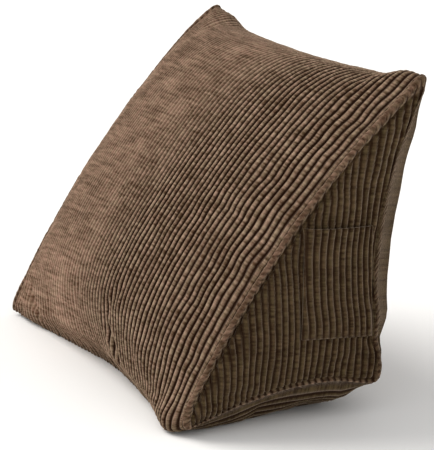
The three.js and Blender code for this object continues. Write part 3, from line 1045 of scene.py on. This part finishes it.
def panel_place(wedge, y, z):
    """Where on the right side panel the point seen from the side at y, z lies."""
    along, upward = np.full(y.shape, 0.6), np.full(y.shape, 0.5)
    for _ in range(SEARCH_STEPS):
        here = wedge.panel(along, upward, 1)
        column = wedge.seam(along, 1)[..., 2] - wedge.seam(3 - along, 1)[..., 2]
        along = np.clip(along + (y - here[..., 1]) / wedge.sizes.depth, 0.02, 1)
        upward = np.clip(upward + (z - here[..., 2]) / column, 0, 1)
    return along, upward


def add_pocket(cloth, wedge, corduroy):
    """A ribbed sheet of cloth laid on the right side panel, its mouth standing open a little."""
    across, up = np.linspace(0, 1, POCKET_COLUMNS + 1), np.linspace(0, 1, POCKET_ROWS + 1)
    a, b = np.meshgrid(across, up, indexing="ij")
    bottom, mouth = (between(*np.array(ends) * MM, a[..., None]) for ends in (POCKET_BOTTOM, POCKET_MOUTH))
    seen = between(bottom, mouth, b[..., None])
    smooth = wedge.panel(*panel_place(wedge, seen[..., 0], seen[..., 1]), 1)
    normals = grid_normals(smooth)
    away = (a - GAPE_PLACE) / (1 - GAPE_PLACE)
    gape = MOUTH_GAPE * b**GAPE_POWER * np.maximum(1 - away**2, 0)
    inner = smooth + normals * (POCKET_CLEARANCE + gape)[..., None]
    shift = smooth_curve(seen[..., 1] / MM, *np.array(POCKET_SHIFT).T)
    count = wale_count(seen[..., 0] / MM + shift, POCKET_WALES)
    beads = soft_noise("pocket beads", np.floor(count) * BEAD_STEP, smooth[..., 2])
    relief = beaded(count, POCKET_BEAD, beads) * corduroy.wale_rise * inside(a, 8) * np.minimum(b * 12, 1)
    outer = inner + normals * (POCKET_THICKNESS + relief)[..., None]
    # The pocket takes the side panels' darker tint too: partly nap tone, partly painted shade
    index = np.stack([cloth.add_points(inner, 1, 0), cloth.add_points(outer, 1, PANEL_FILLED)])
    uv = np.stack([count + POCKET_FIRST_WALE, smooth[..., 2]], -1)
    cloth.add_grid(index[1], uv)
    cloth.add_grid(index[0], uv, flipped=True)
    uv = np.stack([uv, uv])
    # Rims from one face of the sheet to the other: at the bottom, the mouth, the front and the back
    cloth.add_grid(index[:, :, 0].T, uv[:, :, 0].swapaxes(0, 1))
    cloth.add_grid(index[::-1, :, -1].T, uv[:, :, -1].swapaxes(0, 1))
    cloth.add_grid(index[:, 0], uv[:, 0])
    cloth.add_grid(index[::-1, -1], uv[:, -1])


class PILLOW_OT_side_pocket(bpy.types.Operator):
    """Builds the patch pocket on the right side panel"""

    bl_idname = "pillow.side_pocket"
    bl_label = "Side pocket"

    def execute(self, context):
        corduroy = context.scene.pillow_corduroy
        cloth = ClothMesh()
        add_pocket(cloth, Wedge(context.scene.pillow_sizes), corduroy)
        pocket = cloth.build("patch_pocket")
        pocket.data.materials.append(corduroy_material("pocket_corduroy", corduroy))
        declare(pocket, "side_pocket")
        return {"FINISHED"}


def add_key_light(studio):
    """A soft, wide light from far away."""
    light = bpy.data.lights.new("key_light", "SUN")
    light.energy = studio.key_strength
    light.angle = math.radians(KEY_SPREAD)
    light.color = KEY_COLOR
    lamp = add_object("key_light", light)
    lamp.rotation_euler = Vector(KEY_TOWARDS).to_track_quat("Z", "Y").to_euler()


def add_camera(studio):
    """The camera at the photo's angle, turned aside as far as the photo is cropped off centre."""
    azimuth, elevation, roll = studio.azimuth, studio.elevation, studio.roll
    level = math.cos(elevation)
    towards = Vector((math.sin(azimuth) * level, -math.cos(azimuth) * level, math.sin(elevation)))
    right = Vector((math.cos(azimuth), math.sin(azimuth), 0))
    up = towards.cross(right)
    right, up = right * math.cos(roll) - up * math.sin(roll), right * math.sin(roll) + up * math.cos(roll)
    back = towards - right * (AIM_RIGHT / studio.focal_pixels) + up * (AIM_DOWN / studio.focal_pixels)
    back.normalize()
    right = up.cross(back).normalized()
    turn = Matrix((right, back.cross(right), back)).transposed().to_4x4()
    camera = add_object("camera", bpy.data.cameras.new("camera"))
    camera.matrix_world = Matrix.Translation(Vector(LOOKED_AT) + towards * studio.distance) @ turn
    camera.data.sensor_fit = "HORIZONTAL"
    camera.data.sensor_width = SENSOR
    camera.data.lens = SENSOR * studio.focal_pixels / PHOTO_WIDTH
    bpy.context.scene.camera = camera


class PILLOW_OT_studio(bpy.types.Operator):
    """Sets the pale floor, the soft lights and the camera at the photo's angle"""

    bl_idname = "pillow.studio"
    bl_label = "Studio"

    def execute(self, context):
        studio = context.scene.pillow_studio
        corners = [(x * FLOOR_HALF, y * FLOOR_HALF, 0) for x, y in ((-1, -1), (1, -1), (1, 1), (-1, 1))]
        mesh = bpy.data.meshes.new("floor")
        mesh.from_pydata(corners, [], [(0, 1, 2, 3)])
        floor = add_object("floor", mesh)
        g = Graph("pale_floor")
        g.feed("Base Color", FLOOR_COLOR)
        g.feed("Roughness", 0.9)
        mesh.materials.append(g.material)

        world = bpy.data.worlds.new("studio_light")
        world.use_nodes = True
        sky = world.node_tree.nodes["Background"].inputs
        sky["Color"].default_value = SKY_COLOR
        sky["Strength"].default_value = studio.sky_strength
        context.scene.world = world
        add_key_light(studio)
        add_camera(studio)
        context.scene.view_settings.view_transform = "Standard"
        return {"FINISHED"}


class VIEW3D_PT_pillow(bpy.types.Panel):
    """Lists the pillow's sizes, finishes and pieces in the sidebar"""

    bl_label = "Wedge reading pillow"
    bl_space_type = "VIEW_3D"
    bl_region_type = "UI"
    bl_category = "Pillow"

    def draw(self, context):
        for name in SETTINGS:
            group = getattr(context.scene, name)
            box = self.layout.box()
            for key in group.bl_rna.properties.keys():
                if key not in ("rna_type", "name"):
                    box.prop(group, key)
        for operator in OPERATORS:
            self.layout.operator(operator.bl_idname)


OPERATORS = (PILLOW_OT_cushion_cover, PILLOW_OT_side_pocket, PILLOW_OT_studio)
SETTINGS = {
    "pillow_sizes": PillowSizes,
    "pillow_corduroy": CorduroySettings,
    "pillow_studio": StudioSettings,
}
CLASSES = (*SETTINGS.values(), *OPERATORS, VIEW3D_PT_pillow)


def register():
    for cls in CLASSES:
        bpy.utils.register_class(cls)
    for name, group in SETTINGS.items():
        setattr(bpy.types.Scene, name, PointerProperty(type=group))


def unregister():
    for name in SETTINGS:
        delattr(bpy.types.Scene, name)
    for cls in reversed(CLASSES):
        bpy.utils.unregister_class(cls)


def main():
    register()
    bpy.ops.pillow.cushion_cover()
    bpy.ops.pillow.side_pocket()
    bpy.ops.pillow.studio()


if __name__ == "__main__":
    main()
